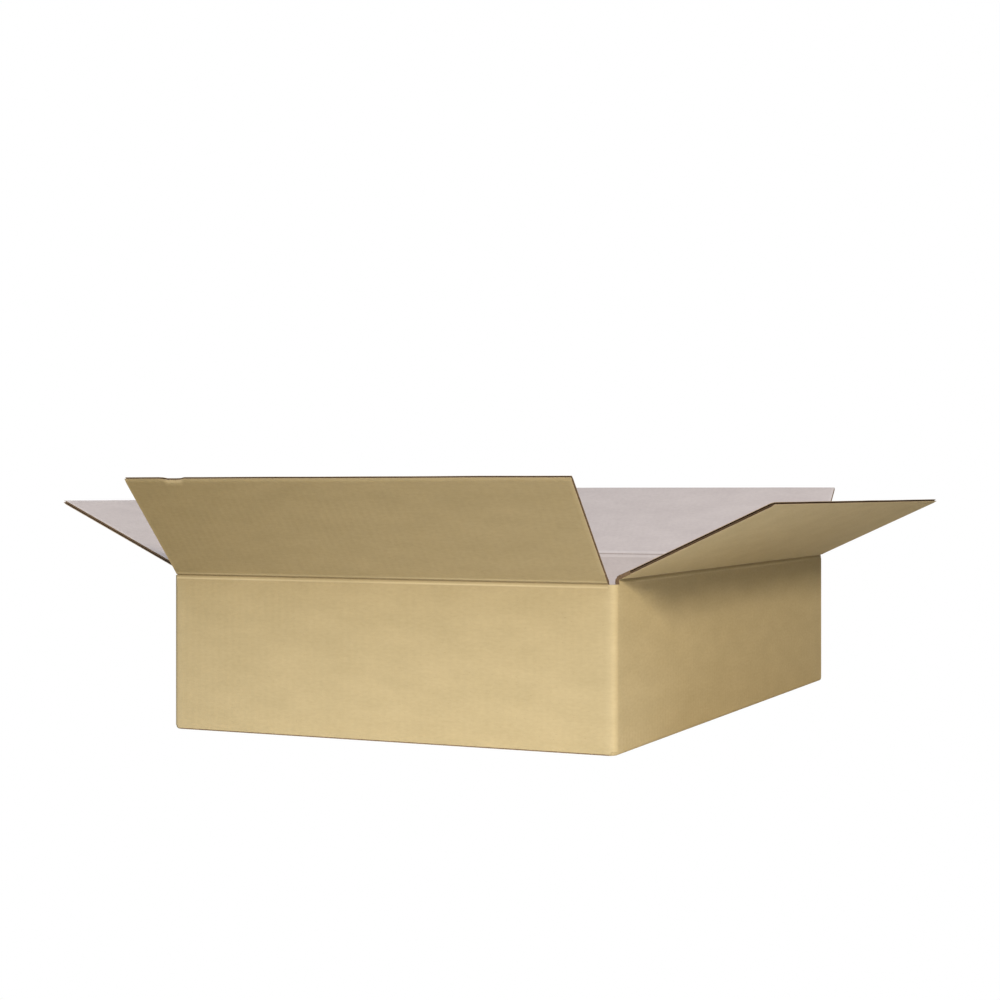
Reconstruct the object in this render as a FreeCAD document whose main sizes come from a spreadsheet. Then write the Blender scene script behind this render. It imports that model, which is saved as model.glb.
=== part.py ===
import FreeCAD, Part
import os
import Sketcher

# An open carton folded from one sheet of single-wall corrugated board.
# Four walls stand on a floor of four folded flaps, and four more flaps hang
# on creases round the open top, all leaning outwards.
#
# Frame: millimetres, +Z up. The origin is the middle of the underside.
# The short front wall is at -Y, the long side walls are at -X and +X.

os.makedirs("parts", exist_ok=True)
doc = FreeCAD.newDocument("carton")

# The sizes. Each row is: name, value. Lengths are in mm and angles in degrees.
SIZES = [
    # the tube of four walls
    ("front_width", 400),
    ("side_length", 620),
    ("board_thickness", 3),
    ("corner_radius", 5),
    ("inner_corner_radius", 0.5),
    # the height of the hinge line over the short and the long walls: the
    # long flaps fold shut last, so their crease sits one board higher
    ("end_crease_height", 130.2),
    ("side_crease_height", 133.6),
    # how a crease is cut: the bevels of wall and flap start this far from
    # the hinge line, which runs this far outside the board
    ("crease_gap", 0.18),
    ("hinge_offset", 0.08),
    # the flaps round the top
    ("end_flap_length", 110),
    ("side_flap_length", 135),
    ("end_flap_slot", 6.5),
    ("front_flap_left_slot", 3.6),
    ("side_flap_slot", 6.5),
    ("left_flap_front_slot", 9.5),
    # how far each flap leans outwards from upright
    ("front_lean", 43),
    ("back_lean", 48),
    ("left_lean", 65),
    ("right_lean", 65),
    # the crushed nick in the free edge of the front flap
    ("nick_start", 35),
    ("nick_width", 22),
    ("nick_depth", 1.2),
    # the floor: two long flaps meet outside, two short ones lie on them
    ("floor_seam", 0.6),
    ("floor_seam_offset", 1),
    ("floor_end_step", 0.7),
    ("floor_edge_radius", 2.5),
    ("floor_end_flap_length", 110),
    ("floor_end_flap_gap", 0.6),
]

sheet = doc.addObject("Spreadsheet::Sheet", "sizes")
for row, (name, value) in enumerate(SIZES, start=1):
    sheet.set("A%d" % row, name)
    sheet.set("B%d" % row, str(value))
    sheet.setAlias("B%d" % row, name)
doc.recompute()


# Small tools for sketches and features.
def sized(text):
    """Turn size names into references to the sheet of sizes."""
    words = []
    for word in text.split():
        known = any(word == name for name, value in SIZES)
        words.append("sizes." + word if known else word)
    return " ".join(words)


def origin_plane(body, role):
    """One of the three origin planes of a body."""
    return [plane for plane in body.Origin.OriginFeatures if plane.Role == role][0]


def outline(body, name, role, *loops, offset="0"):
    """A sketch of closed straight-sided loops, each corner a pair of sizes."""
    sketch = body.newObject("Sketcher::SketchObject", name)
    sketch.AttachmentSupport = [(origin_plane(body, role), "")]
    sketch.MapMode = "FlatFace"
    sketch.setExpression("AttachmentOffset.Base.z", sized(offset))
    for loop in loops:
        pairs = [(sized(across), sized(up)) for across, up in loop]
        spots = [
            FreeCAD.Vector(float(sketch.evalExpression(across)), float(sketch.evalExpression(up)), 0)
            for across, up in pairs
        ]
        first = sketch.GeometryCount
        count = len(spots)
        for i in range(count):
            sketch.addGeometry(Part.LineSegment(spots[i], spots[(i + 1) % count]), False)
        for i in range(count):
            sketch.addConstraint(Sketcher.Constraint("Coincident", first + i, 2, first + (i + 1) % count, 1))
        for i in range(count):
            across, up = pairs[i]
            for kind, value, text in (("DistanceX", spots[i].x, across), ("DistanceY", spots[i].y, up)):
                index = sketch.addConstraint(Sketcher.Constraint(kind, -1, 1, first + i, 1, value))
                sketch.setExpression("Constraints[%d]" % index, text)
    return sketch


def rectangle(left, right, low, high):
    """The four corners of a rectangle."""
    return [(left, low), (right, low), (right, high), (left, high)]


def pad(body, name, sketch, length):
    """Grow a sketch by a length to one side."""
    feature = body.newObject("PartDesign::Pad", name)
    feature.Profile = sketch
    feature.setExpression("Length", sized(length))
    doc.recompute()
    return feature


def pocket(body, name, sketch, length):
    """Cut a sketch through a body, half the length to each side."""
    before = body.Shape.Volume
    feature = body.newObject("PartDesign::Pocket", name)
    feature.Profile = sketch
    feature.SideType = "Symmetric"
    feature.setExpression("Length", sized(length))
    doc.recompute()
    if not body.Shape.Volume < before:
        raise ValueError(name + " cuts nothing")
    return feature


def straight_edges(shape, wanted):
    """Names of the straight edges whose middle and direction suit a test."""
    names = []
    for number, edge in enumerate(shape.Edges, start=1):
        if edge.Curve.TypeId != "Part::GeomLine":
            continue
        way = edge.tangentAt(edge.FirstParameter)
        if wanted(edge.CenterOfMass, way):
            names.append("Edge%d" % number)
    return names


def rounding(body, name, base, edges, radius):
    """Round a list of edges of the feature before."""
    if not edges:
        raise ValueError(name + " finds no edge")
    feature = body.newObject("PartDesign::Fillet", name)
    feature.Base = (base, edges)
    feature.setExpression("Radius", sized(radius))
    doc.recompute()
    return feature


# The walls and the floor.
carton = doc.addObject("PartDesign::Body", "carton_body")
half_width = float(sheet.front_width) / 2
half_length = float(sheet.side_length) / 2
board = float(sheet.board_thickness)

# the outside of the box, with its upright folds rounded
block_outline = outline(
    carton, "block_outline", "XY_Plane",
    rectangle("0 - front_width / 2", "front_width / 2", "0 - side_length / 2", "side_length / 2"),
)
block = pad(carton, "block", block_outline, "side_crease_height - crease_gap")
outer_folds = straight_edges(carton.Shape, lambda spot, way: abs(way.z) > 0.99)
outer_corners = rounding(carton, "outer_corners", block, outer_folds, "corner_radius")

# the hollow, down to the long floor flaps, rounded at its corners too
hollow_outline = outline(
    carton, "hollow_outline", "XY_Plane",
    rectangle("board_thickness - front_width / 2", "front_width / 2 - board_thickness",
              "board_thickness - side_length / 2", "side_length / 2 - board_thickness"),
    offset="board_thickness + side_crease_height",
)
hollow = pocket(carton, "hollow", hollow_outline, "2 * side_crease_height")
inner_folds = straight_edges(
    carton.Shape,
    lambda spot, way: abs(way.z) > 0.99 and abs(abs(spot.x) - half_width + board) < 0.01
    and abs(abs(spot.y) - half_length + board) < 0.01,
)
inner_corners = rounding(carton, "inner_corners", hollow, inner_folds, "inner_corner_radius")

# the folds between the long walls and the long floor flaps
floor_folds = straight_edges(
    carton.Shape,
    lambda spot, way: abs(way.y) > 0.99 and abs(abs(spot.x) - half_width) < 0.01 and spot.z < 0.01,
)
floor_edges = rounding(carton, "floor_edges", inner_corners, floor_folds, "floor_edge_radius")

# the two long floor flaps meet at a seam just beside the middle
seam_outline = outline(
    carton, "seam_outline", "XY_Plane",
    rectangle("floor_seam_offset", "floor_seam_offset + floor_seam", "0 - side_length / 2", "side_length / 2"),
)
seam = pocket(carton, "seam", seam_outline, "2 * board_thickness")

# at the ends their cut edge stops just short of the fold of the end wall
floor_step_outline = outline(
    carton, "floor_step_outline", "YZ_Plane",
    rectangle("0 - side_length / 2 - 1", "floor_end_step - side_length / 2", "0 - 1", "board_thickness"),
    rectangle("side_length / 2 - floor_end_step", "side_length / 2 + 1", "0 - 1", "board_thickness"),
)
floor_step = pocket(carton, "floor_step", floor_step_outline, "front_width + 2")

# the two short floor flaps, folded in from the end walls
floor_ends_outline = outline(
    carton, "floor_ends_outline", "XY_Plane",
    rectangle("board_thickness + floor_end_flap_gap - front_width / 2",
              "front_width / 2 - board_thickness - floor_end_flap_gap",
              "board_thickness / 2 - side_length / 2", "floor_end_flap_length - side_length / 2"),
    rectangle("board_thickness + floor_end_flap_gap - front_width / 2",
              "front_width / 2 - board_thickness - floor_end_flap_gap",
              "side_length / 2 - floor_end_flap_length", "side_length / 2 - board_thickness / 2"),
    offset="board_thickness",
)
floor_ends = pad(carton, "floor_ends", floor_ends_outline, "board_thickness")

# the end walls stop lower, at their own crease, and slope inwards from it
end_tops_outline = outline(
    carton, "end_tops_outline", "YZ_Plane",
    [("0 - side_length / 2 - 1", "end_crease_height - crease_gap"),
     ("0 - side_length / 2", "end_crease_height - crease_gap"),
     ("board_thickness - side_length / 2", "end_crease_height - crease_gap - board_thickness"),
     ("board_thickness - side_length / 2", "side_crease_height + 1"),
     ("0 - side_length / 2 - 1", "side_crease_height + 1")],
    [("side_length / 2 + 1", "end_crease_height - crease_gap"),
     ("side_length / 2", "end_crease_height - crease_gap"),
     ("side_length / 2 - board_thickness", "end_crease_height - crease_gap - board_thickness"),
     ("side_length / 2 - board_thickness", "side_crease_height + 1"),
     ("side_length / 2 + 1", "side_crease_height + 1")],
)
end_tops = pocket(carton, "end_tops", end_tops_outline, "front_width + 2")

# the long walls slope inwards from their crease
side_tops_outline = outline(
    carton, "side_tops_outline", "XZ_Plane",
    [("0 - front_width / 2", "side_crease_height - crease_gap"),
     ("board_thickness - front_width / 2", "side_crease_height - crease_gap - board_thickness"),
     ("board_thickness - front_width / 2 + 1", "side_crease_height - crease_gap - board_thickness"),
     ("board_thickness - front_width / 2 + 1", "side_crease_height + 1"),
     ("0 - front_width / 2", "side_crease_height + 1")],
    [("front_width / 2", "side_crease_height - crease_gap"),
     ("front_width / 2 - board_thickness", "side_crease_height - crease_gap - board_thickness"),
     ("front_width / 2 - board_thickness - 1", "side_crease_height - crease_gap - board_thickness"),
     ("front_width / 2 - board_thickness - 1", "side_crease_height + 1"),
     ("front_width / 2", "side_crease_height + 1")],
)
side_tops = pocket(carton, "side_tops", side_tops_outline, "side_length - 2 * board_thickness")


# The flaps.
def flap(label, width, length, spot, lean, turn):
    """A top flap: it is drawn upright with its crease along its own X axis
    and its outer face just inside the hinge line, then leant outwards,
    turned to its wall and set on the hinge line."""
    body = doc.addObject("PartDesign::Body", label)
    side = outline(
        body, label + "_section", "YZ_Plane",
        [("hinge_offset", "crease_gap"),
         ("hinge_offset + board_thickness", "crease_gap + board_thickness"),
         ("hinge_offset + board_thickness", length),
         ("hinge_offset", length)],
    )
    pad(body, label + "_board", side, width)
    place = "create(<<placement>>; create(<<vector>>; %s; %s; %s); create(<<rotation>>; %s; 0; %s))"
    body.setExpression("Placement", place % (*[sized(part) for part in spot], turn, sized(lean)))
    return body


front = flap(
    "front_flap", "front_width - front_flap_left_slot - end_flap_slot", "end_flap_length",
    ("front_flap_left_slot - front_width / 2", "0 - side_length / 2 - hinge_offset", "end_crease_height"),
    "front_lean", "0",
)
back = flap(
    "back_flap", "front_width - 2 * end_flap_slot", "end_flap_length",
    ("front_width / 2 - end_flap_slot", "side_length / 2 + hinge_offset", "end_crease_height"),
    "back_lean", "180",
)
right = flap(
    "right_flap", "side_length - 2 * side_flap_slot", "side_flap_length",
    ("front_width / 2 + hinge_offset", "side_flap_slot - side_length / 2", "side_crease_height"),
    "right_lean", "90",
)
left = flap(
    "left_flap", "side_length - side_flap_slot - left_flap_front_slot", "side_flap_length",
    ("0 - front_width / 2 - hinge_offset", "side_length / 2 - side_flap_slot", "side_crease_height"),
    "left_lean", "-90",
)

# the crushed nick in the free edge of the front flap
nick_outline = outline(
    front, "nick_outline", "XZ_Plane",
    [("nick_start", "end_flap_length"),
     ("nick_start + nick_width / 4", "end_flap_length - nick_depth"),
     ("nick_start + 3 * nick_width / 4", "end_flap_length - nick_depth"),
     ("nick_start + nick_width", "end_flap_length"),
     ("nick_start + nick_width", "end_flap_length + 1"),
     ("nick_start", "end_flap_length + 1")],
)
pocket(front, "nick", nick_outline, "6 * board_thickness")

# Check every body and save it.
doc.recompute()
for thing in doc.Objects:
    if "Invalid" in thing.State or "Error" in thing.State:
        raise ValueError(thing.Name + " is not built")
for body in (carton, front, back, left, right):
    shape = body.Shape
    if shape.isNull() or not shape.isValid() or len(shape.Solids) != 1:
        raise ValueError(body.Label + " is not one sound solid")
    shape.exportStep("parts/%s.step" % body.Label)
    print(body.Label, round(shape.Volume), shape.BoundBox)
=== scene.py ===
# %% [markdown]
# # An open carton of corrugated board
#
# The box is one sheet of brown single-wall board, scored, slotted and folded:
# four walls, a floor of folded flaps, and four top flaps that lean outwards.
# The script dresses the plain solids of the frame. All lengths are in metres.

# %% Load the frame
import math

import bmesh
import bpy
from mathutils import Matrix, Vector, noise


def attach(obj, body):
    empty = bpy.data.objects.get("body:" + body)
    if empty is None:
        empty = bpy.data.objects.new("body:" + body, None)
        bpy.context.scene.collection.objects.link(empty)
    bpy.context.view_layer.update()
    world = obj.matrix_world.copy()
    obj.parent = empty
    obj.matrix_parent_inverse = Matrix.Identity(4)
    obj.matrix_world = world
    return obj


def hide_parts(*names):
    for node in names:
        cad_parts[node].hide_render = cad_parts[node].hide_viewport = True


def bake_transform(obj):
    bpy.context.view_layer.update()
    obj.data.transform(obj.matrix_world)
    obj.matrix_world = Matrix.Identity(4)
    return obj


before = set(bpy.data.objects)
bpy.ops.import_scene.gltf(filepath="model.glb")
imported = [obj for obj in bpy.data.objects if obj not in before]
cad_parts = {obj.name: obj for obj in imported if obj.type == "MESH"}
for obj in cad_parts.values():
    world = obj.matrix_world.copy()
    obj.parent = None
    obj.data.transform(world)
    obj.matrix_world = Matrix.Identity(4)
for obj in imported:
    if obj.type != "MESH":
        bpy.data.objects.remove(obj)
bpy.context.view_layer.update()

# %% [markdown]
# ## Sizes of the sheet
#
# The walls and the hinge lines sit where the frame's solids are. The short
# walls face front and back (Y), the long ones left and right (X). Single-wall
# board of 3 mm has two paper liners with a fluted sheet between them.

# %% The sizes that every piece shares
MM = 0.001
WIDE = 400 * MM
LONG = 620 * MM
BOARD = 3 * MM
LINER = 0.35 * MM
HINGE_OUT = 0.08 * MM
CORNER = 5 * MM
FLUTE_PITCH = 6.5 * MM
FLUTE_SHEET = 0.25 * MM
RIM_GAP = 0.2 * MM  # how far the corner posts stop under the end creases
BAND = 10 * MM  # how far a crease piece reaches into wall and flap
WRAP = 1 * MM  # how low the short walls fold down over the ends of the floor

END_CREASE = 130.2 * MM
SIDE_CREASE = 133.6 * MM
END_FLAP = 110 * MM
SIDE_FLAP = 135 * MM
SLOT = 6.5 * MM  # from a corner of the box to the end of a flap

# the floor: how far its long flaps stop short of the end walls, how their
# folds are rounded, where the two meet, and the short flaps that lie on them
FLOOR_STEP = 0.7 * MM
FLOOR_ROUND = 2.5 * MM
SEAM = (1.25 * MM, 1.35 * MM)
FLOOR_END_FLAP = 110 * MM
FLOOR_END_GAP = 0.6 * MM

# the nick in the front flap, from its left end, and the squeeze of a free edge
NICK_START = 35 * MM
NICK_WIDTH = 22 * MM
NICK_DEPTH = 1.2 * MM
PINCH = 0.5 * MM
PINCH_REACH = 3.5 * MM

# name: which wall, lean in degrees, flap length, crease height, and the gaps
# between the flap and the corners at its low and high end along the wall, and
# how strongly its crease beads are painted paler as highlight, more where lit
FLAPS = {
    "front": dict(lean=43, length=END_FLAP, crease=END_CREASE, gaps=(3.6 * MM, SLOT), paled=0.9),
    "back": dict(lean=48, length=END_FLAP, crease=END_CREASE, gaps=(SLOT, SLOT), paled=0.6),
    "left": dict(lean=65, length=SIDE_FLAP, crease=SIDE_CREASE, gaps=(SLOT, 9.5 * MM), paled=0.2),
    "right": dict(lean=65, length=SIDE_FLAP, crease=SIDE_CREASE, gaps=(SLOT, SLOT), paled=0.1),
}
ACROSS = Vector((1, 0, 0))
AWAY = Vector((0, 1, 0))
UP = Vector((0, 0, 1))
# each wall, seen from outside: where its left end is, which way it runs to
# the right, which way it faces, where it starts along the unfolded sheet, and
# how long it is
WALLS = {
    "front": (Vector((-WIDE / 2, -LONG / 2, 0)), ACROSS, -AWAY, 0.0, WIDE),
    "right": (Vector((WIDE / 2, -LONG / 2, 0)), AWAY, ACROSS, WIDE, LONG),
    "back": (Vector((WIDE / 2, LONG / 2, 0)), -ACROSS, AWAY, WIDE + LONG, WIDE),
    "left": (Vector((-WIDE / 2, LONG / 2, 0)), -AWAY, -ACROSS, 2 * WIDE + LONG, LONG),
}
print("unfolded sheet is", round(2 * (WIDE + LONG), 3), "m round")

# %% [markdown]
# ## The camera and the light
#
# The camera stands low in front of the short wall and a little to its right,
# level, with a lens that is slightly long. One strong softbox stands high on
# the right and shades the long wall under its flap. A small one grazes that wall
# from the front, a wide one hangs over the front, and one fills the far sides.
# A white sheet under the box throws light back up the walls. The camera sees
# pure white all round, so the floor itself is hidden from it.

# %% Camera
camera_data = bpy.data.cameras.new("camera")
camera_data.sensor_width = 36
camera_data.lens = 65.785
camera_data.shift_y = -0.0078
camera_data.clip_end = 100
camera = bpy.data.objects.new("camera", camera_data)
camera.location = (0.6904, -1.6066, 0.2002)
camera.rotation_euler = (math.radians(90), 0, math.radians(24.353))
bpy.context.scene.collection.objects.link(camera)
bpy.context.scene.camera = camera
print("camera at", tuple(round(v, 3) for v in camera.location))


# %% A helper that turns a hex colour to linear light
def colour(code):
    """An sRGB hex colour as linear red, green, blue and alpha."""
    parts = [int(code[i:i + 2], 16) / 255 for i in (0, 2, 4)]
    return [p / 12.92 if p <= 0.04045 else ((p + 0.055) / 1.055) ** 2.4 for p in parts] + [1.0]


print("kraft brown in linear light:", [round(c, 3) for c in colour("AA9871")])


# %% A helper that adds one shader node
def add(tree, kind, settings=None, **links):
    """Add a node, set what settings name, and set or link its inputs."""
    node = tree.nodes.new(kind)
    for name, value in (settings or {}).items():
        setattr(node, name, value)
    for name, value in links.items():
        key = int(name[1:]) if name[1:].isdigit() else name.replace("_", " ")
        socket = node.inputs[key]
        if isinstance(value, bpy.types.NodeSocket):
            tree.links.new(value, socket)
        else:
            socket.default_value = value
    return node


# %% Soft light from all round
SKY = 0.02
bpy.context.scene.view_settings.view_transform = "Standard"
world = bpy.data.worlds.new("studio")
bpy.context.scene.world = world
world.use_nodes = True
sky = world.node_tree.nodes["Background"]
seen = add(world.node_tree, "ShaderNodeLightPath").outputs["Is Camera Ray"]
strength = add(world.node_tree, "ShaderNodeMapRange", None, Value=seen, To_Min=SKY, To_Max=1.0)
world.node_tree.links.new(strength.outputs[0], sky.inputs["Strength"])
sky.inputs["Color"].default_value = (1, 1, 1, 1)
print("sky light:", SKY)

# %% Softboxes: name, place, size, power, tint
WARM = (1.0, 0.93, 0.82)
COOL = (0.75, 0.83, 1.0)
NEUTRAL = (1.0, 1.0, 1.0)
AIM = Vector((0.05, -0.1, 0.1))  # the point that they all face
SOFTBOXES = [
    ("right_softbox", (2.45, -2.4, 1.7), 0.5, 131.0, WARM),
    ("grazing_softbox", (1.55, -2.95, 1.5), 0.3, 8.0, NEUTRAL),
    ("high_softbox", (0.05, -2.0, 2.3), 1.5, 86.0, COOL),
    ("rear_softbox", (-2.3, 2.7, 1.1), 1.4, 75.0, NEUTRAL),
]
for name, place, size, power, tint in SOFTBOXES:
    data = bpy.data.lights.new(name, "AREA")
    data.shape = "SQUARE"
    data.size = size
    data.energy = power
    data.color = tint
    lamp = bpy.data.objects.new(name, data)
    lamp.location = place
    lamp.rotation_euler = (AIM - Vector(place)).to_track_quat("-Z", "Y").to_euler()
    bpy.context.scene.collection.objects.link(lamp)
print("softboxes:", [box[0] for box in SOFTBOXES])

# %% The floor: a white sheet on warm ground, which only the light sees
floor_mesh = bpy.data.meshes.new("floor")
floor_mesh.from_pydata([(-6, -6, 0), (6, -6, 0), (6, 6, 0), (-6, 6, 0)], [], [(0, 1, 2, 3)])
floor = bpy.data.objects.new("floor", floor_mesh)
bpy.context.scene.collection.objects.link(floor)
floor.visible_camera = False
ground = bpy.data.materials.new("white_sheet_on_warm_ground")
ground.use_nodes = True
tree = ground.node_tree
matt = tree.nodes["Principled BSDF"]
matt.inputs["Roughness"].default_value = 0.9
place = add(tree, "ShaderNodeTexCoord").outputs["Object"]
squeezed = add(tree, "ShaderNodeMapping", None, Vector=place, Location=(-0.2, 0.0, 0.0),
               Scale=(1.0, 0.75, 1.0)).outputs[0]
away = add(tree, "ShaderNodeVectorMath", {"operation": "LENGTH"}, _0=squeezed)
fade = add(tree, "ShaderNodeMapRange", {"interpolation_type": "SMOOTHSTEP"},
           Value=away.outputs["Value"], From_Min=0.32, From_Max=0.7)
sheet_or_ground = add(tree, "ShaderNodeMix", {"data_type": "RGBA"}, _0=fade.outputs[0],
                      _6=colour("FCFBF8"), _7=colour("9A8962"))
tree.links.new(sheet_or_ground.outputs[2], matt.inputs["Base Color"])
floor_mesh.materials.append(ground)
print("floor spans", floor.dimensions.x, "m")

# %% [markdown]
# ## Materials
#
# The outer liner is unbleached kraft paper: warm brown, mottled where the
# pulp lies thicker, flecked with darker fibres, and faintly ribbed by the
# flutes that are glued behind it. Its free edges are worn paler. Where the
# score squeezed it into beads, and down the round corners, the paper is
# painted paler as highlight, the corners partly worn too; the valleys of
# the creases are painted darker as shade. The inner liner is made of recycled
# pulp, so it is a cooler grey; its mauve cast is partly painted, standing for
# the cool shade inside the box. Every pattern reads the UV map, which holds
# each point's place on the unfolded sheet in metres, so the ribs follow the
# sheet round its folds.


# %% A helper for a sheet of liner paper
def liner_paper(name, base, dark, pale, fleck, rib_depth, mottle, rough):
    """Liner paper: mottled base, fibre flecks, flute ribs, paler wear, painted highlight and
    painted crease shade.
    """
    material = bpy.data.materials.new(name)
    material.use_nodes = True
    tree = material.node_tree
    shader = tree.nodes["Principled BSDF"]
    uv = add(tree, "ShaderNodeUVMap", {"uv_map": "sheet"}).outputs["UV"]
    # cloudy pulp, about 40 mm across, then small clumps of 4 mm drawn out
    # along the machine direction of the paper, which runs round the box
    long_fibre = add(tree, "ShaderNodeMapping", None, Vector=uv, Scale=(1.0, 2.6, 1.0)).outputs[0]
    clouds = add(tree, "ShaderNodeTexNoise", None, Vector=long_fibre, Scale=22.0, Detail=3.0,
                 Roughness=0.55)
    clumps = add(tree, "ShaderNodeTexNoise", None, Vector=long_fibre, Scale=190.0, Detail=4.0,
                 Roughness=0.6)
    fine = add(tree, "ShaderNodeMapping", None, Vector=uv, Scale=(1.0, 5.0, 1.0)).outputs[0]
    hairs = add(tree, "ShaderNodeTexNoise", None, Vector=fine, Scale=420.0, Detail=2.0,
                Roughness=0.5)
    cloud_mix = add(tree, "ShaderNodeMapRange", None, Value=clouds.outputs["Fac"], From_Min=0.3,
                    From_Max=0.7, To_Min=0.0, To_Max=mottle)
    clump_mix = add(tree, "ShaderNodeMapRange", None, Value=clumps.outputs["Fac"], From_Min=0.35,
                    From_Max=0.7, To_Min=0.0, To_Max=mottle * 0.8)
    shade = add(tree, "ShaderNodeMath", {"operation": "ADD", "use_clamp": True},
                _0=cloud_mix.outputs[0], _1=clump_mix.outputs[0])
    body = add(tree, "ShaderNodeMix", {"data_type": "RGBA"}, _0=shade.outputs[0], _6=colour(base),
               _7=colour(dark))
    fleck_mask = add(tree, "ShaderNodeMapRange", None, Value=hairs.outputs["Fac"], From_Min=0.66,
                     From_Max=0.74, To_Min=0.0, To_Max=0.45)
    flecked = add(tree, "ShaderNodeMix", {"data_type": "RGBA"}, _0=fleck_mask.outputs[0],
                  _6=body.outputs[2], _7=colour(fleck))
    # ribs: one wave of the flute every 6.5 mm across the sheet
    split = add(tree, "ShaderNodeSeparateXYZ", None, Vector=uv)
    turns = add(tree, "ShaderNodeMath", {"operation": "MULTIPLY"}, _0=split.outputs["X"],
                _1=2 * math.pi / FLUTE_PITCH)
    rib = add(tree, "ShaderNodeMath", {"operation": "SINE"}, _0=turns.outputs[0])
    rib_tone = add(tree, "ShaderNodeMapRange", None, Value=rib.outputs[0], From_Min=-1.0,
                   From_Max=1.0, To_Min=0.0, To_Max=0.03)
    ribbed = add(tree, "ShaderNodeMix", {"data_type": "RGBA"}, _0=rib_tone.outputs[0],
                 _6=flecked.outputs[2], _7=colour(dark))
    # paler for wear and painted highlight, darker for painted shade in the creases
    wear_and_highlight = add(tree, "ShaderNodeAttribute", {"attribute_name": "wear_and_highlight"}).outputs["Fac"]
    crease_shade = add(tree, "ShaderNodeAttribute", {"attribute_name": "crease_shade"}).outputs["Fac"]
    # painted highlight on the crease beads and round corners, with real wear on the free edges,
    # mixes towards the pale colour
    pale_share = add(tree, "ShaderNodeMath", {"operation": "MULTIPLY"}, _0=wear_and_highlight, _1=0.75)
    paled = add(tree, "ShaderNodeMix", {"data_type": "RGBA"}, _0=pale_share.outputs[0],
                 _6=ribbed.outputs[2], _7=colour(pale))
    # painted shade: the valleys and grooves of the creases are multiplied darker
    crease_shaded = add(tree, "ShaderNodeMix", {"data_type": "RGBA", "blend_type": "MULTIPLY"}, _0=crease_shade,
                   _6=paled.outputs[2], _7=colour("8A7A66"))
    tree.links.new(crease_shaded.outputs[2], shader.inputs["Base Color"])
    # relief: ribs, clumps and hairs of fibre
    height_a = add(tree, "ShaderNodeMath", {"operation": "MULTIPLY"}, _0=rib.outputs[0],
                   _1=rib_depth)
    height_b = add(tree, "ShaderNodeMath", {"operation": "MULTIPLY_ADD"}, _0=clumps.outputs["Fac"],
                   _1=0.5, _2=height_a.outputs[0])
    height_c = add(tree, "ShaderNodeMath", {"operation": "MULTIPLY_ADD"}, _0=hairs.outputs["Fac"],
                   _1=0.3, _2=height_b.outputs[0])
    bump = add(tree, "ShaderNodeBump", None, Height=height_c.outputs[0], Strength=0.35,
               Distance=0.0002)
    tree.links.new(bump.outputs["Normal"], shader.inputs["Normal"])
    grain = add(tree, "ShaderNodeMapRange", None, Value=clumps.outputs["Fac"], From_Min=0.3,
                From_Max=0.7, To_Min=rough - 0.06, To_Max=rough + 0.06)
    tree.links.new(grain.outputs[0], shader.inputs["Roughness"])
    shader.inputs["IOR"].default_value = 1.47
    shader.inputs["Specular IOR Level"].default_value = 0.3
    return material


kraft_liner = liner_paper(
    "kraft_liner_paper",
    base="AA9871", dark="998963", pale="C8B68F", fleck="7C6949",
    rib_depth=0.3, mottle=0.4, rough=0.78,
)
# the grey's mauve cast is partly painted, standing for the cool shade inside the box
recycled_liner = liner_paper(
    "recycled_grey_liner_paper",
    base="B4AAA4", dark="A59B96", pale="CAC2BC", fleck="867B76",
    rib_depth=0.25, mottle=0.45, rough=0.85,
)
print("papers:", kraft_liner.name, recycled_liner.name)


# %% [markdown]
# The cut edges show the raw middle of the board: a darker, furry brown,
# crossed by the liners on each side. The fluted sheet is plain semi-chemical
# pulp, darker again because light hardly reaches into it. The open ends of the
# creases, where one looks in between the liners, take that colour too.


# %% Cut edge and flute materials
def raw_pulp(name, base, dark, rough):
    """Torn or cut pulp: a furry brown with coarse clumps."""
    material = bpy.data.materials.new(name)
    material.use_nodes = True
    tree = material.node_tree
    shader = tree.nodes["Principled BSDF"]
    place = add(tree, "ShaderNodeTexCoord").outputs["Object"]
    fur = add(tree, "ShaderNodeTexNoise", None, Vector=place, Scale=900.0, Detail=3.0,
              Roughness=0.6)
    tone = add(tree, "ShaderNodeMapRange", None, Value=fur.outputs["Fac"], From_Min=0.3,
               From_Max=0.7)
    mixed = add(tree, "ShaderNodeMix", {"data_type": "RGBA"}, _0=tone.outputs[0], _6=colour(base),
                _7=colour(dark))
    tree.links.new(mixed.outputs[2], shader.inputs["Base Color"])
    bump = add(tree, "ShaderNodeBump", None, Height=fur.outputs["Fac"], Strength=0.5,
               Distance=0.0003)
    tree.links.new(bump.outputs["Normal"], shader.inputs["Normal"])
    shader.inputs["Roughness"].default_value = rough
    shader.inputs["Specular IOR Level"].default_value = 0.2
    return material


cut_edge = raw_pulp("cut_board_edge", "A08A6C", "75604B", 0.9)
flute_paper = raw_pulp("fluting_paper", "6E5840", "4E3E2E", 0.92)
print("edges:", cut_edge.name, flute_paper.name)

# %% [markdown]
# ## Making a mesh with its place on the sheet
#
# Each piece is written down as points with three extra facts: where the point
# lies on the unfolded sheet, how much paler it is for wear and painted
# highlight, and how much darker for painted shade in a crease. One helper
# builds the mesh, merges the seams, points the faces outwards and keeps the
# facts as a UV map and two attributes.


# %% The mesh helper
OUTER, INNER, EDGE, HOLLOW = 0, 1, 2, 3


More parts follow.
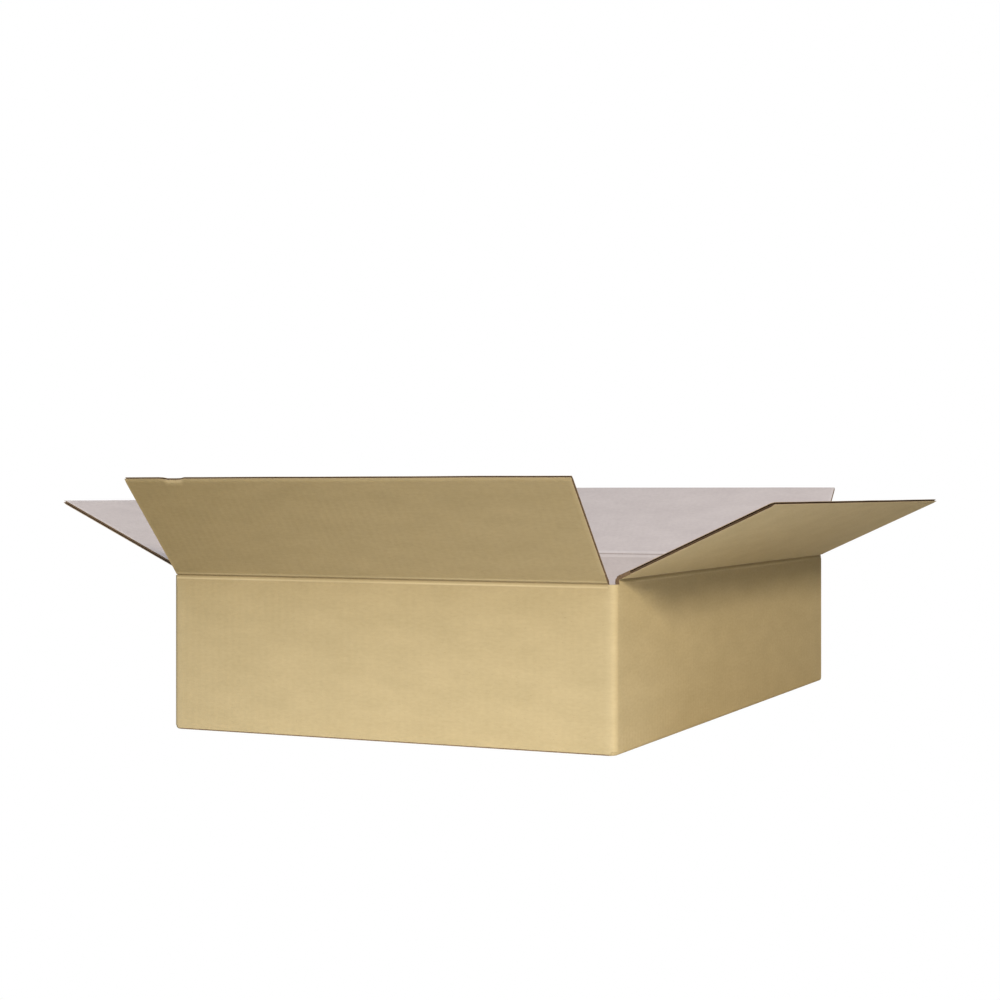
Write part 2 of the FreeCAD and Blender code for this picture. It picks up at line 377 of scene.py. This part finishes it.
def board_piece(name, points, faces, smooth=True):
    """points: (place, (u, v), wear_and_highlight, crease_shade); faces: (corner numbers, slot)."""
    mesh = bpy.data.meshes.new(name)
    mesh.from_pydata([p[0] for p in points], [], [f[0] for f in faces])
    for material in (kraft_liner, recycled_liner, cut_edge, flute_paper):
        mesh.materials.append(material)
    sheet_map = mesh.uv_layers.new(name="sheet")
    for polygon, (corners, slot) in zip(mesh.polygons, faces):
        polygon.material_index = slot
        polygon.use_smooth = smooth and slot in (OUTER, INNER)
        for loop, corner in zip(polygon.loop_indices, corners):
            sheet_map.data[loop].uv = points[corner][1]
    for number, label in ((2, "wear_and_highlight"), (3, "crease_shade")):
        fact = mesh.attributes.new(label, "FLOAT", "POINT")
        fact.data.foreach_set("value", [p[number] for p in points])
    work = bmesh.new()
    work.from_mesh(mesh)
    bmesh.ops.remove_doubles(work, verts=work.verts, dist=1e-6)
    bmesh.ops.recalc_face_normals(work, faces=work.faces)
    for edge in work.edges:
        slots = {face.material_index for face in edge.link_faces}
        edge.smooth = len(slots) == 1 and edge.calc_face_angle(0.0) < 0.8
    work.to_mesh(mesh)
    work.free()
    piece = bpy.data.objects.new(name, mesh)
    bpy.context.scene.collection.objects.link(piece)
    return piece


def strip_faces(count_a, count_b, start, slot):
    """Faces of a grid of points laid out in rows of count_b."""
    found = []
    for i in range(count_a - 1):
        for j in range(count_b - 1):
            a, b = start + i * count_b + j, start + (i + 1) * count_b + j
            found.append(((a, a + 1, b + 1, b), slot))
    return found


def ease(value):
    """Smooth step from 0 to 1."""
    value = min(max(value, 0.0), 1.0)
    return value * value * (3 - 2 * value)


print("mesh helper ready")

# %% [markdown]
# ## The walls
#
# The four walls are a ring of board that turns each corner in a small curve.
# Corner posts stand up between the flaps, where the sheet was slotted, and
# the rest of the rim stops lower, where the crease pieces take over. At the
# bottom the short walls curl down over the cut ends of the floor. A ring
# is easiest as columns of points that follow the box round, each column
# knowing how high it reaches.


# %% Stations round the box
# paleness down the round corners: partly wear, partly painted highlight
CORNER_WEAR_AND_HIGHLIGHT = 0.12


def stations():
    """Outer and inner points round the box with their place on the sheet."""
    found = []
    for name, (start, along, out, first, span) in WALLS.items():
        low, high = FLAPS[name]["gaps"]
        spots = {CORNER, low, span - high, span - CORNER} | {i * span / 40 for i in range(1, 40)}
        for spot in sorted(spots):
            if spot < CORNER - 1e-9 or spot > span - CORNER + 1e-9:
                continue
            outer = start + along * spot
            inner = outer - out * BOARD
            near = min(spot, span - spot)
            # paler towards each corner: partly wear, partly painted highlight
            wear_and_highlight = CORNER_WEAR_AND_HIGHLIGHT * ease(1 - (near - CORNER) / (6 * MM))
            found.append((outer, inner, first + spot, wear_and_highlight, name, spot, span))
        # the curve to the next wall
        centre = start + along * (span - CORNER) - out * CORNER
        for step in range(1, 6):
            turn = step / 6 * math.pi / 2
            way = out * math.cos(turn) + along * math.sin(turn)
            outer = centre + way * CORNER
            inner = centre + way * (CORNER - BOARD)
            on_sheet = first + span - CORNER + turn * CORNER
            found.append((outer, inner, on_sheet, CORNER_WEAR_AND_HIGHLIGHT, None, 0, 0))
    return found


ring = stations()
print("stations round the box:", len(ring))


# %% How high each part of the ring reaches
def top_between(a, b):
    """The height of the rim between two neighbouring stations."""
    if a[4] is None or b[4] is None:
        return END_CREASE - RIM_GAP
    low, high = FLAPS[a[4]]["gaps"]
    middle = (a[5] + b[5]) / 2
    if middle < low or middle > a[6] - high:
        return END_CREASE - RIM_GAP
    return FLAPS[a[4]]["crease"] - BAND


levels = [BOARD] + [BOARD + (END_CREASE - BAND - BOARD) * i / 12 for i in range(1, 13)]
levels += [SIDE_CREASE - BAND, END_CREASE - 4 * MM, END_CREASE - RIM_GAP]
levels = sorted(set(levels))
print("rows up the walls:", len(levels))

# %% Build the walls
points, faces = [], []
rows = len(levels)
for outer, inner, along_sheet, wear_and_highlight, name, spot, span in ring:
    for level in levels:
        if level == BOARD and name in ("front", "back"):
            level = WRAP
        points.append((outer + UP * level, (along_sheet, level), wear_and_highlight, 0.0))
    for level in levels:
        points.append((inner + UP * level, (along_sheet, level), wear_and_highlight * 0.4, 0.0))
count = len(ring)
for i in range(count):
    j = (i + 1) % count
    a, b = i * 2 * rows, j * 2 * rows
    top = top_between(ring[i], ring[j])
    before = top_between(ring[i - 1], ring[i])
    for k in range(rows - 1):
        if levels[k + 1] <= top + 1e-9:
            faces.append(((a + k, b + k, b + k + 1, a + k + 1), OUTER))
            faces.append(((a + rows + k, a + rows + k + 1, b + rows + k + 1, b + rows + k), INNER))
            if levels[k + 1] > before + 1e-9:
                faces.append(((a + k, a + k + 1, a + rows + k + 1, a + rows + k), EDGE))
        elif levels[k + 1] <= before + 1e-9:
            faces.append(((a + k, a + rows + k, a + rows + k + 1, a + k + 1), EDGE))
    k = max(n for n in range(rows) if levels[n] <= top + 1e-9)
    faces.append(((a + k, b + k, b + rows + k, a + rows + k), EDGE))
    faces.append(((a, a + rows, b + rows, b), EDGE))
walls = board_piece("folded_walls", points, faces)
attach(walls, "carton")
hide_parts("carton_body")
print("walls:", len(walls.data.polygons), "faces")

# %% [markdown]
# ## The floor
#
# Two long flaps fold in from the long walls and meet at a seam. Their
# cut ends show under the short walls. Two short flaps lie on them inside.


# %% The long floor flaps
def long_floor_flap(name, side, seam_edge):
    """A floor flap from the fold under a long wall to the seam."""
    points, faces = [], []
    end = LONG / 2 - FLOOR_STEP
    layers = []
    for step in range(5):
        turn = step / 4 * math.pi / 2
        reach = WIDE / 2 - FLOOR_ROUND * (1 - math.sin(turn))
        layers.append((reach, FLOOR_ROUND * (1 - math.cos(turn))))
    layers.append((WIDE / 2, BOARD))
    for reach, level in layers:
        plan = [(seam_edge, -end), (seam_edge, end)]
        for turn in [math.pi / 2 * (1 - step / 6) for step in range(7)]:
            across = reach - CORNER + CORNER * math.cos(turn)
            plan.append((side * across, end - CORNER + CORNER * math.sin(turn)))
        for turn in [math.pi / 2 * step / 6 for step in range(7)]:
            across = reach - CORNER + CORNER * math.cos(turn)
            plan.append((side * across, -end + CORNER - CORNER * math.sin(turn)))
        loop_size = len(plan)
        for x, y in plan:
            points.append((Vector((x, y, level)), (y + LONG, x), 0.0, 0.0))
    for k in range(len(layers) - 1):
        for n in range(loop_size):
            m = (n + 1) % loop_size
            slot = OUTER if 1 <= n < loop_size - 1 else EDGE
            low, high = k * loop_size, (k + 1) * loop_size
            faces.append(((low + n, low + m, high + m, high + n), slot))
    faces.append((tuple(range(loop_size)), OUTER))
    last = (len(layers) - 1) * loop_size
    faces.append((tuple(range(last, last + loop_size)), INNER))
    piece = board_piece(name, points, faces, smooth=False)
    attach(piece, "carton")
    return piece


long_floor_flap("floor_flap_left", -1, SEAM[0])
long_floor_flap("floor_flap_right", 1, SEAM[1])
print("floor flaps meet", round(sum(SEAM) / 2 / MM, 2), "mm beside the middle")


# %% The short floor flaps inside
def short_floor_flap(name, side):
    """A floor flap that lies on the long ones at one end of the box."""
    half = WIDE / 2 - BOARD - FLOOR_END_GAP
    near, far = side * (LONG / 2 - BOARD), side * (LONG / 2 - FLOOR_END_FLAP)
    points = []
    for level in (BOARD, 2 * BOARD):
        for x, y in ((-half, near), (half, near), (half, far), (-half, far)):
            points.append((Vector((x, y, level)), (x, y), 0.0, 0.0))
    faces = [((0, 1, 2, 3), OUTER), ((4, 5, 6, 7), INNER)]
    faces += [((n, (n + 1) % 4, (n + 1) % 4 + 4, n + 4), EDGE) for n in range(4)]
    piece = board_piece(name, points, faces, smooth=False)
    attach(piece, "carton")
    return piece


short_floor_flap("floor_flap_front", -1)
short_floor_flap("floor_flap_back", 1)
print("short floor flaps are", round(FLOOR_END_FLAP / MM), "mm long")

# %% [markdown]
# ## The top flaps
#
# A flap is two liners with the fluted sheet between them, so its cut edges
# show the waves. Each flap is written in its own frame: u runs along the
# crease to the right as seen from outside, v runs up the flap from the hinge
# line, and w goes through the board from the outer face inwards.


# %% The frame of a flap
def flap_frame(name):
    """A function from (u, v, w) on a flap to its place in the room."""
    start, along, out = WALLS[name][:3]
    facts = FLAPS[name]
    lean = math.radians(facts["lean"])
    hinge = start + out * HINGE_OUT + UP * facts["crease"]
    rise = out * math.sin(lean) + UP * math.cos(lean)
    outward = out * math.cos(lean) - UP * math.sin(lean)

    def place(u, v, w):
        return hinge + along * u + rise * v - outward * (w + HINGE_OUT)

    return place


print("front flap's free edge is", round(flap_frame("front")(0.2, END_FLAP, 0).z, 4), "m up")

# %% [markdown]
# A free edge isn't quite straight: it wanders by a quarter of a millimetre,
# the slitter's wheel squeezed it thinner, and something knocked a shallow nick
# into that of the front flap.


# %% The line of the free edge
def free_edge(name, u, length):
    """How far the flap reaches at u: nearly straight, with one crushed nick."""
    wander = 0.25 * MM * noise.noise(Vector((u * 14, len(name), 0.3)))
    reach = length + wander - 0.2 * MM
    if name == "front":
        into = (u - FLAPS[name]["gaps"][0] - NICK_START) / NICK_WIDTH
        if 0 < into < 1:
            reach -= NICK_DEPTH * ease(min(into, 1 - into) * 4)
    return reach


whole, nicked = (free_edge("front", u, END_FLAP) for u in (20 * MM, 50 * MM))
print("nick:", round((whole - nicked) / MM, 2), "mm deep")


# %% The pinch along the free edge
def pinch(from_edge):
    """How far each liner is pressed in, this far from the free edge."""
    return PINCH * ease(1 - from_edge / PINCH_REACH)


print("board at a free edge is", round((BOARD - 2 * pinch(0)) / MM, 1), "mm thick")


# %% Build the liners of a flap
def flap_liners(name):
    """The two liners of a flap, from the crease piece to the free edge."""
    facts = FLAPS[name]
    place = flap_frame(name)
    first, span = WALLS[name][3:]
    low, high = facts["gaps"][0], span - facts["gaps"][1]
    columns = 97
    rows = 31
    points, faces = [], []
    for face_w, other_w, slot in ((0.0, LINER, OUTER), (BOARD, BOARD - LINER, INNER)):
        for w in (face_w, other_w):
            for i in range(columns):
                u = low + (high - low) * i / (columns - 1)
                reach = free_edge(name, u, facts["length"])
                in_nick = ease((facts["length"] - reach - 0.5 * MM) / (0.5 * MM))
                for j in range(rows):
                    share = 1 - (1 - j / (rows - 1)) ** 2
                    v = BAND + (reach - BAND) * share
                    # rubbed paler along every edge, and more round the nick
                    near_edge = min(reach - v, u - low, high - u)
                    wear_and_highlight = 0.35 * ease(1 - near_edge / (2.5 * MM))
                    wear_and_highlight += in_nick * ease(1 - (reach - v) / (7 * MM))
                    pressed = w + (pinch(reach - v) if slot == OUTER else -pinch(reach - v))
                    on_sheet = (first + u, facts["crease"] + v)
                    points.append((place(u, v, pressed), on_sheet, min(wear_and_highlight, 1.0), 0.0))
        start = len(points) - 2 * columns * rows
        size = columns * rows
        faces += strip_faces(columns, rows, start, slot)
        faces += strip_faces(columns, rows, start + size, EDGE)
        for i in range(columns - 1):
            for j in (0, rows - 1):
                a, b = start + i * rows + j, start + (i + 1) * rows + j
                faces.append(((a, b, b + size, a + size), EDGE))
        for j in range(rows - 1):
            for i in (0, columns - 1):
                a = start + i * rows + j
                faces.append(((a, a + 1, a + 1 + size, a + size), EDGE))
    piece = board_piece(name + "_flap_liners", points, faces)
    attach(piece, name + "_flap")
    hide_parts(name + "_flap")
    return piece


for side in FLAPS:
    made = flap_liners(side)
    print(made.name, len(made.data.polygons), "faces")

# %% [markdown]
# ## The flutes
#
# The middle sheet is a wave that repeats every 6.5 mm, so Geometry Nodes
# makes it: a line of points along the flap, lifted by a sine, swept up the
# flap as a thin sheet. The open waves show at the free edge.


# %% Geometry Nodes for a fluted sheet
def fluting_tree():
    """A node tree that makes a fluted sheet in the flap's own axes."""
    tree = bpy.data.node_groups.new("fluted_sheet", "GeometryNodeTree")
    for label in ("Length", "Height", "Depth", "Pitch", "Thickness"):
        tree.interface.new_socket(label, in_out="INPUT", socket_type="NodeSocketFloat")
    tree.interface.new_socket("Steps", in_out="INPUT", socket_type="NodeSocketInt")
    tree.interface.new_socket("Paper", in_out="INPUT", socket_type="NodeSocketMaterial")
    tree.interface.new_socket("Geometry", in_out="OUTPUT", socket_type="NodeSocketGeometry")
    given = tree.nodes.new("NodeGroupInput").outputs
    grid = add(tree, "GeometryNodeMeshGrid", None, Size_X=given["Length"], Size_Y=given["Height"],
               Vertices_X=given["Steps"], Vertices_Y=2)
    spot = add(tree, "GeometryNodeInputPosition")
    split = add(tree, "ShaderNodeSeparateXYZ", None, Vector=spot.outputs[0])
    phase = add(tree, "ShaderNodeMath", {"operation": "DIVIDE"}, _0=split.outputs["X"],
                _1=given["Pitch"])
    turns = add(tree, "ShaderNodeMath", {"operation": "MULTIPLY"}, _0=phase.outputs[0],
                _1=2 * math.pi)
    wave = add(tree, "ShaderNodeMath", {"operation": "SINE"}, _0=turns.outputs[0])
    lift = add(tree, "ShaderNodeMath", {"operation": "MULTIPLY"}, _0=wave.outputs[0],
               _1=given["Depth"])
    offset = add(tree, "ShaderNodeCombineXYZ", None, Z=lift.outputs[0])
    waved = add(tree, "GeometryNodeSetPosition", None, Geometry=grid.outputs["Mesh"],
                Offset=offset.outputs[0])
    thick = add(tree, "GeometryNodeExtrudeMesh", {"mode": "FACES"}, Mesh=waved.outputs[0],
                Offset_Scale=given["Thickness"])
    thick.inputs["Individual"].default_value = False
    flipped = add(tree, "GeometryNodeFlipFaces", None, Mesh=waved.outputs[0])
    joined = add(tree, "GeometryNodeJoinGeometry")
    tree.links.new(thick.outputs["Mesh"], joined.inputs[0])
    tree.links.new(flipped.outputs[0], joined.inputs[0])
    merged = add(tree, "GeometryNodeMergeByDistance", None, Geometry=joined.outputs[0],
                 Distance=1e-6)
    real = add(tree, "GeometryNodeRealizeInstances", None, Geometry=merged.outputs[0])
    dressed = add(tree, "GeometryNodeSetMaterial", None, Geometry=real.outputs[0],
                  Material=given["Paper"])
    out = tree.nodes.new("NodeGroupOutput")
    tree.links.new(dressed.outputs[0], out.inputs[0])
    return tree


fluted_sheet = fluting_tree()
sockets = fluted_sheet.interface.items_tree
print("fluted sheet inputs:", [s.name for s in sockets if s.in_out == "INPUT"])


# %% Flutes for each flap
FLUTE_SHORT = 1.6 * MM  # how far the waves stop short of the free edge


def flap_flutes(name):
    """Run the tree for one flap and lay the sheet between its liners."""
    facts = FLAPS[name]
    place = flap_frame(name)
    span = WALLS[name][4]
    low, high = facts["gaps"][0], span - facts["gaps"][1]
    length = high - low
    tall = facts["length"] - BAND - FLUTE_SHORT
    core = BOARD - 2 * LINER
    holder = bpy.data.objects.new(name + "_flap_flutes", bpy.data.meshes.new("empty"))
    bpy.context.scene.collection.objects.link(holder)
    modifier = holder.modifiers.new("flutes", "NODES")
    modifier.node_group = fluted_sheet
    waves = round(length / FLUTE_PITCH)
    wanted = {
        "Length": length,
        "Height": tall,
        "Depth": (core - FLUTE_SHEET) / 2 - 0.02 * MM,
        "Pitch": length / waves,
        "Thickness": FLUTE_SHEET,
        "Steps": waves * 12 + 1,
        "Paper": flute_paper,
    }
    for item in fluted_sheet.interface.items_tree:
        if item.in_out == "INPUT":
            modifier[item.identifier] = wanted[item.name]
    bpy.context.view_layer.update()
    evaluated = holder.evaluated_get(bpy.context.evaluated_depsgraph_get())
    mesh = bpy.data.meshes.new_from_object(evaluated)
    holder.modifiers.remove(modifier)
    for vertex in mesh.vertices:
        x, y, z = vertex.co
        u, v = low + length / 2 + x, BAND + tall / 2 + y
        squeeze = 1 - pinch(facts["length"] - v) / (core / 2)
        vertex.co = place(u, v, BOARD / 2 + z * squeeze)
    holder.data = mesh
    work = bmesh.new()
    work.from_mesh(mesh)
    bmesh.ops.recalc_face_normals(work, faces=work.faces)
    work.to_mesh(mesh)
    work.free()
    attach(holder, name + "_flap")
    return holder


for side in FLAPS:
    made = flap_flutes(side)
    print(made.name, len(made.data.polygons), "faces")

# %% [markdown]
# ## The creases
#
# A scored crease is what shows how the box was made. The scoring wheel
# crushed the flutes along a line, so on the outside the liner stands up in
# two soft beads with a valley between, and inside it stretches over the
# bend with a shallow groove. The beads and inner ridges are painted paler as
# highlight, the valley and groove painted darker as shade. Each crease is one
# strip of board that bends from its wall to its flap, so it follows the flap
# at every angle.


# %% The section of a crease
LOW_BEAD = 0.24 * MM  # on the wall's side of the hinge line
HIGH_BEAD = 0.2 * MM  # on the flap's side
VALLEY = 0.22 * MM
RIDGE = 0.25 * MM
GROOVE = 0.7 * MM


def crease_section(lean):
    """Outer and inner outlines as (out, up, sheet height, painted highlight, painted shade, lift).
    """
    d = (math.sin(lean), math.cos(lean))
    m = (math.cos(lean), -math.sin(lean))
    e = HINGE_OUT
    outer = []
    # s is how far up the sheet a point is from the hinge line, in millimetres
    below = [-10, -8, -6.5, -5.5, -4.8, -4.2, -3.6, -3.1, -2.8, -2.5, -2.2, -1.9, -1.5, -1.1, -0.8]
    below += [-0.5, -0.25]
    above = [0.25, 0.5, 0.8, 1.1, 1.5, 1.8, 2.1, 2.4, 2.7, 3.0, 3.4, 3.9, 4.6, 5.4, 6.5, 8, 10]
    for s in below + [0] + above:
        w = ease((s + 1.4) / 2.8)
        on_wall = (-e, s * MM)
        on_flap = (-e * m[0] + s * MM * d[0], -e * m[1] + s * MM * d[1])
        n = (1 - w + w * m[0], w * m[1])
        size = math.hypot(*n)
        low_bead = math.exp(-((s + 2.3) / 1.0) ** 2)
        high_bead = math.exp(-((s - 2.2) / 0.95) ** 2)
        valley = math.exp(-(s / 0.75) ** 2)
        lift = LOW_BEAD * low_bead + HIGH_BEAD * high_bead - VALLEY * valley
        # painted highlight along the crests of the two beads, painted shade in the valley between
        line = math.exp(-((s + 2.5) / 0.55) ** 2) + 0.8 * math.exp(-((s - 2.4) / 0.5) ** 2)
        x = on_wall[0] * (1 - w) + on_flap[0] * w + lift * n[0] / size
        y = on_wall[1] * (1 - w) + on_flap[1] * w + lift * n[1] / size
        outer.append((x, y, s * MM, line, 0.4 * valley, lift))
    inner = []
    r = e + BOARD
    for s in (-10, -8, -6, -4.5, -3.4, -2.6, -1.9, -1.3, -0.7):
        # painted highlight along the inner ridges on either side of the bend
        ridge = math.exp(-((s + 1.9) / 1.0) ** 2)
        inner.append((-r - RIDGE * ridge, s * MM, s * MM, 0.8 * ridge, 0.0, 0))
    turns = 8
    for k in range(turns + 1):
        a = lean * k / turns
        # painted highlight over the bend, painted shade in its groove
        groove = math.exp(-((k / turns - 0.5) / 0.22) ** 2)
        radius = r - GROOVE * groove
        x, y = -radius * math.cos(a), radius * math.sin(a)
        inner.append((x, y, 0.0, 0.25 * (1 - groove), 0.5 * groove, 0))
    for s in (0.7, 1.3, 1.9, 2.6, 3.4, 4.5, 6, 8, 10):
        ridge = math.exp(-((s - 1.9) / 1.0) ** 2)
        x, y = -r * m[0] + s * MM * d[0], -r * m[1] + s * MM * d[1]
        swell = RIDGE * ridge
        inner.append((x - swell * m[0], y - swell * m[1], s * MM, 0.8 * ridge, 0.0, 0))
    return outer, inner


print("crease section has", len(crease_section(0.7)[0]), "points outside")


def crease(name):
    """The bent strip of board between a wall and its flap."""
    facts = FLAPS[name]
    start, along, out, first, span = WALLS[name]
    lean = math.radians(facts["lean"])
    outer, inner = crease_section(lean)
    low, high = facts["gaps"][0], span - facts["gaps"][1]
    hinge = start + out * HINGE_OUT + UP * facts["crease"]
    columns = 121
    # how strongly this crease's beads are painted paler as highlight
    pale_share = facts["paled"]
    profile = outer + inner[::-1]
    split = len(outer)
    points, faces = [], []
    for i in range(columns):
        u = low + (high - low) * i / (columns - 1)
        # the beads vary in height, and the whole line wanders a little
        wobble = noise.noise(Vector((u * 60, facts["crease"] * 50, len(name))))
        slow = noise.noise(Vector((u * 9, 3.1, len(name))))
        for k, (x, y, s, wear_and_highlight, crease_shade, lift) in enumerate(profile):
            uneven = 0.25 * lift * wobble
            if k < split and abs(s) < 5 * MM:
                uneven += 0.12 * MM * slow
            place = hinge + along * u + out * (x + uneven) + UP * y
            # painted highlight on the beads, weaker on the creases that lie in shadow
            paleness = min(1, pale_share * wear_and_highlight * (1 + 0.5 * slow))
            points.append((place, (first + u, facts["crease"] + s), paleness, crease_shade))
    size = len(profile)
    for i in range(columns - 1):
        for k in range(size):
            n = (k + 1) % size
            slot = OUTER if k < split - 1 else EDGE if k in (split - 1, size - 1) else INNER
            a, b = i * size, (i + 1) * size
            faces.append(((a + k, b + k, b + n, a + n), slot))
    # the open ends are closed with the dark flute colour, painted shade for the hollow between the
    # liners
    faces.append((tuple(range(size)), HOLLOW))
    faces.append((tuple(range((columns - 1) * size, columns * size)), HOLLOW))
    piece = board_piece(name + "_crease_fold", points, faces)
    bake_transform(piece)
    return piece


for side in FLAPS:
    made = crease(side)
    print(made.name, len(made.data.polygons), "faces")
